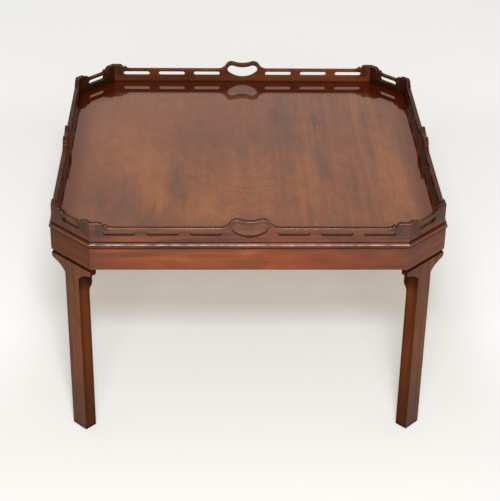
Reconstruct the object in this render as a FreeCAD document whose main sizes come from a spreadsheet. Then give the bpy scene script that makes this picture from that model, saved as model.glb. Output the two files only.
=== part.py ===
import FreeCAD, Part
import math
import os
from collections import namedtuple

import Sketcher
from FreeCAD import Placement, Rotation, Vector

# Tray top tea table: a square top with canted corners and a pierced gallery,
# on a plain frieze and four square legs set across the corners.
# Millimetres. +Z is up, and the origin is on the floor under the middle of the top.
# Every piece is drawn as if it faced the viewer (towards -Y) and then turned
# about Z to its own side or corner.

SIZES = (
    ("top_width", "760", "over the edge moulding, the same both ways"),
    ("corner_cut", "81.5", "what each canted corner takes off a side"),
    ("tray_height", "451.5", "floor to the face of the tray"),
    ("panel_thickness", "13", "tray panel"),
    ("gallery_setback", "5.6", "edge of the moulding to the outer face of the gallery"),
    ("gallery_thickness", "9", "fret-cut gallery boards"),
    ("gallery_seat", "4", "depth of the rebate that the gallery stands in"),
    ("gallery_height", "29.4", "plain edge of the gallery above the tray"),
    ("post_rise", "9.8", "corner post above the plain edge"),
    ("post_flat", "16", "flat top of a corner post, from the mitre"),
    ("notch_rise", "1.6", "notches on both sides of the scroll above the plain edge"),
    ("scroll_radius", "4", "small scroll beside a corner post"),
    ("scroll_drop", "0.5", "middle of the scroll below its notches"),
    ("sweep_radius", "24", "hollow sweep from the scroll to the plain edge"),
    ("handle_rise", "18", "shoulders of the handle above the plain edge"),
    ("handle_dip", "4.5", "saddle between the two shoulders"),
    ("handle_spread", "25", "middle of the handle to the top of a shoulder"),
    ("shoulder_radius", "15", "rounded shoulder of the handle"),
    ("handle_foot_radius", "19", "hollow where the handle leaves the plain edge"),
    ("handle_rim", "8.5", "wood over the grip, at the saddle"),
    ("grip_width", "68", "hand hole, end to end"),
    ("grip_height", "25", "hand hole at the middle"),
    ("grip_dip", "4.5", "saddle in the top of the hand hole"),
    ("grip_end_radius", "10.5", "round ends of the hand hole"),
    ("slot_count", "3", "slots on each side of a handle"),
    ("slot_height", "10.5", "slots, with round ends"),
    ("slot_drop", "11", "plain edge to the middle line of the slots"),
    ("slot_bar", "20", "wood between two slots"),
    ("slot_from_handle", "51.5", "middle of the handle to the first slot"),
    ("slot_from_corner", "24.5", "corner to the last slot"),
    ("corner_slot_margin", "31", "corner to the one slot of a canted board"),
    ("bead_radius", "4.75", "half-round bead of the edge moulding"),
    ("bead_step", "1", "square step under the bead"),
    ("fillet_width", "2.4", "top fillet of the edge moulding"),
    ("fillet_height", "2.6", "top fillet above the bead"),
    ("frieze_setback", "2.4", "edge of the moulding to the face of the frieze"),
    ("frieze_height", "45", "frieze rails"),
    ("rail_thickness", "20", "frieze rails"),
    ("tongue_thickness", "4", "loose tongue in a rail mitre"),
    ("tongue_width", "12", "loose tongue, half of it in each rail"),
    ("tongue_stop", "8", "wood left under a loose tongue"),
    ("leg_width", "39", "leg along the canted face"),
    ("leg_depth", "27", "leg from front to back"),
    ("foot_chamfer", "1.5", "bevel round the foot"),
    ("groove_height", "6.5", "dark groove between frieze and leg"),
    ("groove_depth", "3", "dark groove between frieze and leg"),
    ("knee_depth", "7.5", "thickening behind the head of a leg"),
    ("knee_drop", "56", "frieze to the start of the knee curve"),
    ("knee_length", "18", "height of the knee curve"),
    ("bracket_thickness", "14", "shaped bracket beside a leg"),
    ("bracket_lip", "4.5", "square end of a bracket under the groove"),
    ("bracket_drop", "36", "frieze to the lower tip of a bracket"),
    ("bracket_round", "7.5", "round part of the bracket curve"),
    ("bracket_sweep", "60", "hollow part of the bracket curve"),
    ("block_depth", "25", "corner block behind a leg"),
    ("block_height", "36", "corner block"),
    ("leg_screw_radius", "3", "screw through a corner block into its leg"),
    ("leg_screw_bite", "12", "screw in the leg"),
    ("head_radius", "6.5", "square head of the screw, over its corners"),
    ("head_height", "4", "square head of the screw"),
    ("top_block_size", "20", "glued block under the tray panel"),
    ("top_block_bevel", "6", "bevelled arris of that block"),
    ("top_block_length", "60", "along the rail"),
    ("joint_clearance", "0.1", "room round a tongue or a screw"),
    ("cut_overrun", "10", "how far a cut runs past the wood"),
)

TOP_BLOCK_SHARE = 0.6

LAYOUT = (
    ("mitre_slope", "tan(45 / 2)", "sideways step of a mitre for each step inwards"),
    ("mitre_cos", "cos(45 / 2)", "square to a mitre, along the piece"),
    ("mitre_sin", "sin(45 / 2)", "square to a mitre, inwards"),
    ("side_reach", "Sizes.top_width / 2", "middle to the moulding of a side"),
    ("side_span", "side_reach - Sizes.corner_cut", "half the length of a side"),
    ("corner_reach", "(Sizes.top_width - Sizes.corner_cut) / sqrt(2)", "middle to a canted corner"),
    ("corner_span", "Sizes.corner_cut / sqrt(2)", "half the length of a canted corner"),
    ("panel_bottom", "Sizes.tray_height - Sizes.panel_thickness", "underside of the tray panel"),
    ("seat_level", "Sizes.tray_height - Sizes.gallery_seat", "floor of the gallery rebate"),
    ("gallery_inner", "Sizes.gallery_setback + Sizes.gallery_thickness", "inset of its inner face"),
    ("edge_level", "Sizes.tray_height + Sizes.gallery_height", "plain edge of the gallery"),
    ("post_level", "edge_level + Sizes.post_rise", "top of a corner post"),
    ("notch_level", "edge_level + Sizes.notch_rise", "notches on both sides of the scroll"),
    ("post_radius", "post_level - notch_level", "round shoulder of a corner post"),
    ("notch_in", "Sizes.post_flat + post_radius", "corner to the notch beside the post"),
    ("scroll_half", "sqrt(Sizes.scroll_radius^2 - Sizes.scroll_drop^2)", "half the scroll, notch to middle"),
    ("heel_in", "notch_in + 2 * scroll_half", "corner to the notch beyond the scroll"),
    ("sweep_run", "sqrt(2 * Sizes.sweep_radius * Sizes.notch_rise - Sizes.notch_rise^2)", "its length"),
    ("sweep_in", "heel_in + sweep_run", "corner to the end of the sweep"),
    ("crest_level", "edge_level + Sizes.handle_rise", "top of the handle"),
    ("shoulder_level", "crest_level - Sizes.shoulder_radius", "centre of a shoulder"),
    ("saddle_level", "crest_level - Sizes.handle_dip", "saddle of the handle"),
    ("saddle_up", "saddle_level - shoulder_level", "shoulder centre to saddle"),
    ("saddle_room", "Sizes.handle_spread^2 + saddle_up^2 - Sizes.shoulder_radius^2", "for its radius"),
    ("saddle_radius", "saddle_room / (2 * Sizes.handle_dip)", "saddle of the handle"),
    ("saddle_share", "Sizes.shoulder_radius / (Sizes.shoulder_radius + saddle_radius)", "at the meeting"),
    ("saddle_x", "Sizes.handle_spread * (1 - saddle_share)", "where shoulder meets saddle"),
    ("saddle_z", "shoulder_level + (saddle_up + saddle_radius) * saddle_share", "its level"),
    ("foot_sum", "Sizes.shoulder_radius + Sizes.handle_foot_radius", "between the two centres"),
    ("foot_up", "edge_level + Sizes.handle_foot_radius - shoulder_level", "between the two centres"),
    ("foot_run", "sqrt(foot_sum^2 - foot_up^2)", "between the two centres"),
    ("foot_x", "Sizes.handle_spread + foot_run", "where the handle leaves the plain edge"),
    ("foot_share", "Sizes.handle_foot_radius / foot_sum", "where foot and shoulder meet"),
    ("foot_end_x", "foot_x - foot_run * foot_share", "that place"),
    ("foot_end_z", "edge_level + Sizes.handle_foot_radius - foot_up * foot_share", "its level"),
    ("grip_top", "saddle_level - Sizes.handle_rim", "middle of the top of the hand hole"),
    ("grip_bottom", "grip_top - Sizes.grip_height", "middle of its lower curve"),
    ("grip_end_x", "Sizes.grip_width / 2 - Sizes.grip_end_radius", "centre of a round end"),
    ("grip_end_z", "grip_top + Sizes.grip_dip - Sizes.grip_end_radius", "its level"),
    ("grip_up", "grip_end_z - grip_bottom", "lower curve to that centre"),
    ("grip_room", "grip_end_x^2 + grip_up^2 - Sizes.grip_end_radius^2", "for the lower radius"),
    ("grip_radius", "grip_room / (2 * (grip_up - Sizes.grip_end_radius))", "lower curve"),
    ("grip_share", "grip_radius / (grip_radius - Sizes.grip_end_radius)", "where curve and end meet"),
    ("grip_low_x", "grip_end_x * grip_share", "that place"),
    ("grip_low_z", "grip_bottom + grip_radius - (grip_radius - grip_up) * grip_share", "its level"),
    ("grip_hollow", "Sizes.grip_end_radius - Sizes.grip_dip", "end centre to the saddle"),
    ("grip_dip_room", "grip_end_x^2 + grip_hollow^2 - Sizes.grip_end_radius^2", "for its radius"),
    ("grip_dip_radius", "grip_dip_room / (2 * Sizes.grip_dip)", "saddle of the hand hole"),
    ("grip_dip_share", "Sizes.grip_end_radius / (Sizes.grip_end_radius + grip_dip_radius)", "meeting"),
    ("grip_high_x", "grip_end_x * (1 - grip_dip_share)", "where end meets saddle"),
    ("grip_high_z", "grip_end_z + (grip_hollow + grip_dip_radius) * grip_dip_share", "its level"),
    ("slot_level", "edge_level - Sizes.slot_drop", "middle line of the slots"),
    ("slot_round", "Sizes.slot_height / 2", "round end of a slot"),
    ("side_half", "side_span - Sizes.gallery_setback * mitre_slope", "half a gallery board"),
    ("corner_half", "corner_span - Sizes.gallery_setback * mitre_slope", "half a canted board"),
    ("slot_bars", "Sizes.slot_bar * (Sizes.slot_count - 1)", "all the wood between slots"),
    ("slot_run", "side_half - Sizes.slot_from_handle - Sizes.slot_from_corner", "first to last"),
    ("slot_length", "(slot_run - slot_bars) / Sizes.slot_count", "one slot"),
    ("corner_slot_length", "2 * (corner_half - Sizes.corner_slot_margin)", "slot of a canted board"),
    ("frieze_bottom", "panel_bottom - Sizes.frieze_height", "lower edge of the frieze"),
    ("frieze_inner", "Sizes.frieze_setback + Sizes.rail_thickness", "inset of a rail's inner face"),
    ("frieze_middle", "Sizes.frieze_setback + Sizes.rail_thickness / 2", "inset of its middle"),
    ("bead_low", "sqrt(Sizes.bead_radius^2 - (Sizes.bead_radius - Sizes.frieze_setback)^2)", "drop"),
    ("fillet_face", "Sizes.gallery_setback - Sizes.fillet_width", "inset of the top fillet"),
    ("bead_high", "sqrt(Sizes.bead_radius^2 - (Sizes.bead_radius - fillet_face)^2)", "rise"),
    ("bead_foot", "panel_bottom + Sizes.bead_step", "where the bead starts"),
    ("bead_top", "bead_foot + bead_low + bead_high", "where the bead meets the fillet"),
    ("moulding_top", "bead_top + Sizes.fillet_height", "top of the edge moulding"),
    ("tongue_height", "Sizes.frieze_height - Sizes.tongue_stop", "loose tongue"),
    ("leg_side", "Sizes.leg_width / 2", "middle of a corner to the side of its leg"),
    ("leg_back", "Sizes.frieze_setback + Sizes.leg_depth", "inset of a leg's back"),
    ("knee_back", "leg_back + Sizes.knee_depth", "inset of the thickened head's back"),
    ("groove_bottom", "frieze_bottom - Sizes.groove_height", "lower edge of the groove"),
    ("groove_back", "Sizes.frieze_setback + Sizes.groove_depth", "inset of the groove's back"),
    ("knee_top", "frieze_bottom - Sizes.knee_drop", "start of the knee curve"),
    ("knee_foot", "knee_top - Sizes.knee_length", "end of the knee curve"),
    ("knee_radius", "(Sizes.knee_depth^2 + Sizes.knee_length^2) / (4 * Sizes.knee_depth)", "its arcs"),
    ("bracket_end", "corner_span - Sizes.frieze_setback * mitre_slope", "outer end of a bracket"),
    ("bracket_length", "bracket_end - leg_side", "leg to the end of its bracket"),
    ("bracket_tip", "frieze_bottom - Sizes.bracket_drop", "lower tip of a bracket"),
    ("bracket_lip_level", "groove_bottom - Sizes.bracket_lip", "under the square end"),
    ("bracket_fall", "bracket_lip_level - bracket_tip", "height of the bracket curve"),
    ("bracket_across", "bracket_length - Sizes.bracket_round", "leg to the centre of the round"),
    ("bracket_chord", "sqrt(bracket_across^2 + bracket_fall^2)", "that centre to the lower tip"),
    ("bracket_sum", "Sizes.bracket_round + Sizes.bracket_sweep", "between the two centres"),
    ("bracket_along", "(bracket_sum^2 - Sizes.bracket_sweep^2 + bracket_chord^2) / (2 * bracket_chord)",
     "from centre to centre, along the chord"),
    ("bracket_aside", "sqrt(bracket_sum^2 - bracket_along^2)", "and square to it"),
    ("bracket_share", "Sizes.bracket_round / (bracket_sum * bracket_chord)", "where round and hollow meet"),
    ("bracket_in", "(bracket_along * bracket_across - bracket_aside * bracket_fall) * bracket_share", "to it"),
    ("bracket_down", "(bracket_along * bracket_fall + bracket_aside * bracket_across) * bracket_share", "to it"),
    ("bracket_turn_x", "bracket_end - Sizes.bracket_round - bracket_in", "where round and hollow meet"),
    ("bracket_turn_z", "bracket_lip_level - bracket_down", "its level"),
    ("block_back", "knee_back + Sizes.block_depth", "inset of a corner block's back"),
    ("block_bottom", "panel_bottom - Sizes.block_height", "lower face of a corner block"),
    ("rail_meeting", "corner_span - frieze_inner * mitre_slope - frieze_inner", "rails behind a corner"),
    ("leg_screw_level", "panel_bottom - Sizes.block_height / 2", "middle of the screw"),
    ("leg_screw_hole", "Sizes.leg_screw_radius + Sizes.joint_clearance", "its hole"),
    ("leg_screw_length", "Sizes.block_depth + Sizes.leg_screw_bite", "without its head"),
    ("rail_clear", "side_span - frieze_inner * mitre_slope - (block_back - frieze_inner) * sqrt(2)",
     "middle of a rail to the corner block"),
    ("top_block_x", f"rail_clear * {TOP_BLOCK_SHARE}", "middle of a rail to the block on it"),
    ("top_block_back", "frieze_inner + Sizes.top_block_size", "inset of that block's back"),
    ("top_block_bottom", "panel_bottom - Sizes.top_block_size", "lower face of that block"),
)

# A run is one of the two lengths round the octagon: its distance from the middle
# and half its length, both at the outermost line of the edge moulding.
Run = namedtuple("Run", "reach span half")
SIDE = Run("Layout.side_reach", "Layout.side_span", "Layout.side_half")
CORNER = Run("Layout.corner_reach", "Layout.corner_span", "Layout.corner_half")

# Going round the table, each side is followed by a corner and by the next side.
SIDES = (("front", 0), ("right", 90), ("back", 180), ("left", 270))
CORNER_AFTER = {"front": "front_right", "right": "back_right", "back": "back_left", "left": "front_left"}
SIDE_AFTER = {"front": "right", "right": "back", "back": "left", "left": "front"}
EIGHTH_TURN = math.degrees(math.pi / 4)
CORNERS = [(CORNER_AFTER[side], angle + EIGHTH_TURN, side, SIDE_AFTER[side]) for side, angle in SIDES]
RUNS = [(name, angle, SIDE) for name, angle in SIDES]
RUNS += [(name, angle, CORNER) for name, angle, before, after in CORNERS]

LEFT_TURN = True
RIGHT_TURN = False
UP = Vector(0, 0, 1)
ACROSS = Vector(1, 0, 0)

doc = FreeCAD.newDocument("TrayTopTeaTable")
parts = []


def add_sheet(name, rows, sign=""):
    """A spreadsheet with one named value on each row."""
    sheet = doc.addObject("Spreadsheet::Sheet", name)
    for row, (alias, value, note) in enumerate(rows, start=1):
        sheet.set(f"A{row}", alias)
        sheet.set(f"B{row}", sign + value)
        sheet.set(f"C{row}", note)
        sheet.setAlias(f"B{row}", alias)
    doc.recompute()
    return sheet


def face(run, inset):
    """Y of a face that is set in from the outermost line of a run."""
    return f"({inset}) - {run.reach}"


def mitre(run, inset):
    """X of the mitre at the right-hand end of a run, at that inset."""
    return f"{run.span} - ({inset}) * Layout.mitre_slope"


def new_body(label, angle):
    """A body that is drawn facing the viewer and turned to its own side of the table."""
    body = doc.addObject("PartDesign::Body", label)
    body.Label = label
    body.Placement = Placement(Vector(), Rotation(UP, angle))
    parts.append(body)
    return body


def new_sketch(body, role, name, lift):
    """A sketch on one of the body's own planes, moved off it along the plane's normal."""
    sketch = body.newObject("Sketcher::SketchObject", name)
    planes = [plane for plane in body.Origin.OriginFeatures if plane.Role == role]
    sketch.AttachmentSupport = [(planes[0], "")]
    sketch.MapMode = "FlatFace"
    sketch.setExpression("AttachmentOffset.Base.z", lift)
    return sketch


def plan(body, name, level):
    """A sketch seen from above, at a level over the floor."""
    return new_sketch(body, "XY_Plane", name, level)


def elevation(body, name, run, inset):
    """A sketch seen from the front, on the face that lies at an inset."""
    return new_sketch(body, "XZ_Plane", name, f"{run.reach} - ({inset})")


def section(body, name, lift="0"):
    """A sketch of a cross-section, seen from the right."""
    return new_sketch(body, "YZ_Plane", name, lift)


def bind(sketch, rules):
    """Dimensions of the sketch that follow expressions. A rule is (kind, where, size)."""
    first = sketch.ConstraintCount
    limits = []
    for kind, where, size in rules:
        limits.append(Sketcher.Constraint(kind, *where, float(sketch.evalExpression(size))))
    sketch.addConstraint(limits)
    for number, (kind, where, size) in enumerate(rules, start=first):
        sketch.setExpression(f"Constraints[{number}]", size)


def arc_between(here, there, radius, turn):
    """The shorter arc from one place to another, and which of its ends comes first."""
    chord = there - here
    rise = math.sqrt(max(radius ** 2 - (chord.Length / 2) ** 2, 0))
    sideways = Vector(-chord.y, chord.x, 0) if turn == LEFT_TURN else Vector(chord.y, -chord.x, 0)
    centre = (here + there) / 2 + sideways.normalize() * rise
    start, end = (here, there) if turn == LEFT_TURN else (there, here)
    angles = [math.atan2(place.y - centre.y, place.x - centre.x) for place in (start, end)]
    arc = Part.ArcOfCircle(Part.Circle(centre, UP, radius), *angles)
    return arc, (1, 2) if turn == LEFT_TURN else (2, 1)


def draw_outline(sketch, corners, mirrored=False):
    """A closed outline. A corner is (x, y), or (x, y, radius, turn) if an arc leaves it."""
    if mirrored:
        corners = [(f"-({corner[0]})", *corner[1:3], *(not turn for turn in corner[3:])) for corner in corners]
    first = sketch.GeometryCount
    count = len(corners)
    places = [Vector(*(float(sketch.evalExpression(size)) for size in corner[:2]), 0) for corner in corners]
    edges = []
    ends = []
    for index, corner in enumerate(corners):
        here, there = places[index], places[(index + 1) % count]
        edge, tips = Part.LineSegment(here, there), (1, 2)
        if len(corner) > 2:
            edge, tips = arc_between(here, there, float(sketch.evalExpression(corner[2])), corner[3])
        edges.append(edge)
        ends.append(tips)
    sketch.addGeometry(edges, False)
    joints = []
    rules = []
    for index, corner in enumerate(corners):
        after = (index + 1) % count
        joint = (first + index, ends[index][1], first + after, ends[after][0])
        joints.append(Sketcher.Constraint("Coincident", *joint))
        start = (-1, 1, first + index, ends[index][0])
        rules += [("DistanceX", start, corner[0]), ("DistanceY", start, corner[1])]
        if len(corner) > 2:
            rules.append(("Radius", (first + index,), corner[2]))
    sketch.addConstraint(joints)
    bind(sketch, rules)


def draw_circle(sketch, x, y, radius):
    """A round hole."""
    centre = Vector(float(sketch.evalExpression(x)), float(sketch.evalExpression(y)), 0)
    number = sketch.addGeometry(Part.Circle(centre, UP, float(sketch.evalExpression(radius))), False)
    middle = (-1, 1, number, 3)
    bind(sketch, [("DistanceX", middle, x), ("DistanceY", middle, y), ("Radius", (number,), radius)])


def pad(body, sketch, length, inwards=False, both_ways=False):
    """Wood as thick as the length, from a sketch."""
    feature = body.newObject("PartDesign::Pad", f"{sketch.Name}_wood")
    feature.Profile = sketch
    feature.setExpression("Length", length)
    feature.Reversed = inwards
    if both_ways:
        feature.SideType = "Symmetric"
    body.Tip = feature


def cut(body, sketch, depth=None, backwards=False):
    """A cut from a sketch: as deep as given, or right through."""
    feature = body.newObject("PartDesign::Pocket", f"{sketch.Name}_cut")
    feature.Profile = sketch
    feature.Reversed = backwards
    if depth is None:
        feature.Type = "ThroughAll"
    else:
        feature.setExpression("Length", depth)
    body.Tip = feature
    return feature


def both_hands(right):
    """An outline that is the same on both sides, from its right-hand corners in order."""
    left = []
    for index in reversed(range(len(right))):
        arc = right[index - 1][2:] if index else ()
        left.append((f"-({right[index][0]})", right[index][1], *arc))
    return right + left


def octagon(inset):
    """The outline of the top, set in from the outermost line of the moulding."""
    far = f"Layout.side_reach - ({inset})"
    near = mitre(SIDE, inset)
    front = [(near, f"-({far})"), (far, f"-({near})")]
    right = front + [(far, near), (near, far)]
    return right + [(f"-({x})", y) for x, y in reversed(right)]


def bar_plan(run, outer, inner):
    """A straight bar with mitred ends, seen from above."""
    right = [(mitre(run, outer), face(run, outer)), (mitre(run, inner), face(run, inner))]
    return right + [(f"-({x})", y) for x, y in reversed(right)]


def cut_mitres(body, run, outer, inner, level):
    """Both ends of a straight piece, cut off along the mitre."""
    outside = f"{outer} - Sizes.cut_overrun"
    inside = f"{inner} + Sizes.cut_overrun"
    far = f"{run.span} + 2 * Sizes.cut_overrun"
    waste = [
        (mitre(run, outside), face(run, outside)),
        (far, face(run, outside)),
        (far, face(run, inside)),
        (mitre(run, inside), face(run, inside)),
    ]
    sketch = plan(body, f"{body.Name}_mitres", level)
    draw_outline(sketch, waste)
    draw_outline(sketch, waste, mirrored=True)
    cut(body, sketch)


def make_tray_panel():
    """The panel: an octagon with a rebate round its edge for the gallery."""
    body = new_body("tray_panel", 0)
    sketch = plan(body, "panel_outline", "Layout.panel_bottom")
    draw_outline(sketch, octagon("Sizes.gallery_setback"))
    pad(body, sketch, "Sizes.panel_thickness - Sizes.gallery_seat")
    sketch = plan(body, "tray_outline", "Layout.seat_level")
    draw_outline(sketch, octagon("Layout.gallery_inner"))
    pad(body, sketch, "Sizes.gallery_seat")


def make_edge_moulding(name, angle, run):
    """A moulding glued round the edge: a fillet over a half-round bead."""
    body = new_body(f"edge_moulding_{name}", angle)
    sketch = section(body, f"moulding_{name}")
    back, front = face(run, "Sizes.gallery_setback"), face(run, "Sizes.frieze_setback")
    fillet, widest = face(run, "Layout.fillet_face"), face(run, "0")
    middle = "Layout.bead_foot + Layout.bead_low"
    draw_outline(sketch, [
        (back, "Layout.panel_bottom"),
        (back, "Layout.moulding_top"),
        (fillet, "Layout.moulding_top"),
        (fillet, "Layout.bead_top", "Sizes.bead_radius", LEFT_TURN),
        (widest, middle, "Sizes.bead_radius", LEFT_TURN),
        (front, "Layout.bead_foot"),
        (front, "Layout.panel_bottom"),
    ])
    pad(body, sketch, f"2 * {run.span}", both_ways=True)
    cut_mitres(body, run, "0", "Sizes.gallery_setback", "Layout.moulding_top")


def gallery_end(run):
    """The right-hand end of a gallery board: post, scroll and sweep, from the lower corner up."""
    return [
        (run.half, "Layout.seat_level"),
        (run.half, "Layout.post_level"),
        (f"{run.half} - Sizes.post_flat", "Layout.post_level", "Layout.post_radius", LEFT_TURN),
        (f"{run.half} - Layout.notch_in", "Layout.notch_level", "Sizes.scroll_radius", LEFT_TURN),
        (f"{run.half} - Layout.heel_in", "Layout.notch_level", "Sizes.sweep_radius", RIGHT_TURN),
        (f"{run.half} - Layout.sweep_in", "Layout.edge_level"),
    ]


def gallery_handle():
    """The right-hand half of a handle's outline, from the plain edge to the saddle."""
    return [
        ("Layout.foot_x", "Layout.edge_level", "Sizes.handle_foot_radius", RIGHT_TURN),
        ("Layout.foot_end_x", "Layout.foot_end_z", "Sizes.shoulder_radius", LEFT_TURN),
        ("Layout.saddle_x", "Layout.saddle_z", "Layout.saddle_radius", RIGHT_TURN),
    ]


def slot_outline(middle, length):
    """A slot with round ends."""
    high, low = "Layout.slot_level + Layout.slot_round", "Layout.slot_level - Layout.slot_round"
    right, left = f"{middle} + ({length}) / 2", f"{middle} - ({length}) / 2"
    turn = ("Layout.slot_round", LEFT_TURN)
    return [
        (f"{left} + Layout.slot_round", low),
        (f"{right} - Layout.slot_round", low, *turn),
        (right, "Layout.slot_level", *turn),
        (f"{right} - Layout.slot_round", high),
        (f"{left} + Layout.slot_round", high, *turn),
        (left, "Layout.slot_level", *turn),
    ]


def grip_outline():
    """The kidney-shaped hand hole."""
    return [
        ("-Layout.grip_low_x", "Layout.grip_low_z", "Layout.grip_radius", LEFT_TURN),
        ("Layout.grip_low_x", "Layout.grip_low_z", "Sizes.grip_end_radius", LEFT_TURN),
        ("Layout.grip_high_x", "Layout.grip_high_z", "Layout.grip_dip_radius", RIGHT_TURN),
        ("-Layout.grip_high_x", "Layout.grip_high_z", "Sizes.grip_end_radius", LEFT_TURN),
    ]


def make_gallery_board(name, angle, run):
    """A fret-cut board: sawn to its outline, pierced, and mitred to its neighbours."""
    body = new_body(f"gallery_{name}", angle)
    sketch = elevation(body, f"gallery_outline_{name}", run, "Sizes.gallery_setback")
    edge = gallery_end(run)
    if run is SIDE:
        edge += gallery_handle()
    draw_outline(sketch, both_hands(edge))
    pad(body, sketch, "Sizes.gallery_thickness", inwards=True)
    sketch = elevation(body, f"gallery_piercing_{name}", run, "Sizes.gallery_setback")
    if run is SIDE:
        draw_outline(sketch, grip_outline())
        for place in range(int(sizes.slot_count)):
            step = f"{place} * (Layout.slot_length + Sizes.slot_bar)"
            middle = f"Sizes.slot_from_handle + Layout.slot_length / 2 + {step}"
            draw_outline(sketch, slot_outline(middle, "Layout.slot_length"))
            draw_outline(sketch, slot_outline(middle, "Layout.slot_length"), mirrored=True)
    else:
        draw_outline(sketch, slot_outline("0", "Layout.corner_slot_length"))
    cut(body, sketch)
    cut_mitres(body, run, "Sizes.gallery_setback", "Layout.gallery_inner", "Layout.crest_level")


def tongue_slot(run):
    """The slot for a loose tongue, square to the mitre at the right-hand end of a rail."""
    half = "(Sizes.tongue_thickness / 2 + Sizes.joint_clearance)"
    deep = "(Sizes.tongue_width / 2 + Sizes.joint_clearance)"
    x, y = mitre(run, "Layout.frieze_middle"), face(run, "Layout.frieze_middle")
    corners = []
    for along, sideways in (("Sizes.cut_overrun", f"-{half}"), ("Sizes.cut_overrun", half),
                            (f"-{deep}", half), (f"-{deep}", f"-{half}")):
        corners.append((
            f"{x} + {along} * Layout.mitre_cos - {sideways} * Layout.mitre_sin",
            f"{y} + {along} * Layout.mitre_sin + {sideways} * Layout.mitre_cos",
        ))
    return corners


def make_rail(label, angle, run):
    """A rail of the frieze, mitred and slotted at both ends."""
    body = new_body(label, angle)
    sketch = plan(body, f"{label}_plan", "Layout.frieze_bottom")
    draw_outline(sketch, bar_plan(run, "Sizes.frieze_setback", "Layout.frieze_inner"))
    pad(body, sketch, "Sizes.frieze_height")
    sketch = plan(body, f"{label}_slots", "Layout.panel_bottom")
    draw_outline(sketch, tongue_slot(run))
    draw_outline(sketch, tongue_slot(run), mirrored=True)
    cut(body, sketch, "Layout.tongue_height")


def draw_leg_screw_hole(body):
    """The hole for the screw of a corner, where its block meets the back of the leg."""
    sketch = elevation(body, f"{body.Name}_screw_hole", CORNER, "Layout.knee_back")
    draw_circle(sketch, "0", "Layout.leg_screw_level", "Layout.leg_screw_hole")
    return sketch


def make_leg(name, angle):
    """A square leg: a groove under the frieze, a knee behind, and a head up to the panel."""
    body = new_body(f"leg_{name}", angle)
    outside, back = face(CORNER, "Sizes.frieze_setback"), face(CORNER, "Layout.leg_back")
    knee, rail = face(CORNER, "Layout.knee_back"), face(CORNER, "Layout.frieze_inner")
    groove = face(CORNER, "Layout.groove_back")
    sketch = section(body, f"leg_profile_{name}")
    draw_outline(sketch, [
        (outside, "0"),
        (back, "0"),
        (back, "Layout.knee_foot", "Layout.knee_radius", RIGHT_TURN),
        (f"({back} + {knee}) / 2", "(Layout.knee_foot + Layout.knee_top) / 2", "Layout.knee_radius", LEFT_TURN),
        (knee, "Layout.knee_top"),
        (knee, "Layout.panel_bottom"),
        (rail, "Layout.panel_bottom"),
        (rail, "Layout.frieze_bottom"),
        (groove, "Layout.frieze_bottom"),
        (groove, "Layout.groove_bottom"),
        (outside, "Layout.groove_bottom"),
    ])
    pad(body, sketch, "Sizes.leg_width", both_ways=True)
    hole = cut(body, draw_leg_screw_hole(body), "Sizes.leg_screw_bite + Sizes.joint_clearance", backwards=True)
    doc.recompute()
    edges = enumerate(hole.Shape.Edges, start=1)
    floor = [f"Edge{number}" for number, edge in edges if edge.BoundBox.ZMax < sizes.foot_chamfer]
    bevel = body.newObject("PartDesign::Chamfer", f"foot_{name}")
    bevel.Base = (hole, floor)
    bevel.setExpression("Size", "Sizes.foot_chamfer")
    body.Tip = bevel


def make_bracket(label, angle, mirrored):
    """A shaped bracket between a leg and the corner rail, grooved like the leg."""
    body = new_body(label, angle)
    sketch = elevation(body, f"{label}_outline", CORNER, "Sizes.frieze_setback")
    draw_outline(sketch, [
        ("Layout.leg_side", "Layout.bracket_tip", "Sizes.bracket_sweep", RIGHT_TURN),
        ("Layout.bracket_turn_x", "Layout.bracket_turn_z", "Sizes.bracket_round", LEFT_TURN),
        ("Layout.bracket_end", "Layout.bracket_lip_level"),
        ("Layout.bracket_end", "Layout.frieze_bottom"),
        ("Layout.leg_side", "Layout.frieze_bottom"),
    ], mirrored)
    pad(body, sketch, "Sizes.bracket_thickness", inwards=True)
    sketch = elevation(body, f"{label}_groove", CORNER, "Sizes.frieze_setback")
    draw_outline(sketch, [
        ("Layout.leg_side - Sizes.cut_overrun", "Layout.groove_bottom"),
        ("Layout.bracket_end + Sizes.cut_overrun", "Layout.groove_bottom"),
        ("Layout.bracket_end + Sizes.cut_overrun", "Layout.frieze_bottom"),
        ("Layout.leg_side - Sizes.cut_overrun", "Layout.frieze_bottom"),
    ], mirrored)
    cut(body, sketch, "Sizes.groove_depth")


def make_corner_block(name, angle):
    """A block behind a leg, fitted between the rails on both sides."""
    body = new_body(f"corner_block_{name}", angle)
    sketch = plan(body, f"corner_block_plan_{name}", "Layout.block_bottom")
    right = []
    for inset in ("Layout.knee_back", "Layout.block_back"):
        right.append((f"Layout.rail_meeting + {inset}", face(CORNER, inset)))
    draw_outline(sketch, right + [(f"-({x})", y) for x, y in reversed(right)])
    pad(body, sketch, "Sizes.block_height")
    cut(body, draw_leg_screw_hole(body))


def make_top_block(label, angle, hand):
    """A bevelled block, glued in the angle of rail and panel."""
    body = new_body(label, angle)
    sketch = section(body, f"{label}_section", f"{hand}Layout.top_block_x")
    rail, back = face(SIDE, "Layout.frieze_inner"), face(SIDE, "Layout.top_block_back")
    draw_outline(sketch, [
        (rail, "Layout.panel_bottom"),
        (rail, "Layout.top_block_bottom"),
        (f"{back} - Sizes.top_block_bevel", "Layout.top_block_bottom"),
        (back, "Layout.top_block_bottom + Sizes.top_block_bevel"),
        (back, "Layout.panel_bottom"),
    ])
    pad(body, sketch, "Sizes.top_block_length", both_ways=True)


def place(thing, angle, turn, x, y, z):
    """A primitive at a place given for the front, turned round the table to its own side."""
    thing.Placement = Placement(Vector(), Rotation(UP, angle) * turn)
    thing.setExpression("Placement.Base.x", f"({x}) * cos({angle}) - ({y}) * sin({angle})")
    thing.setExpression("Placement.Base.y", f"({x}) * sin({angle}) + ({y}) * cos({angle})")
    thing.setExpression("Placement.Base.z", z)


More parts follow.
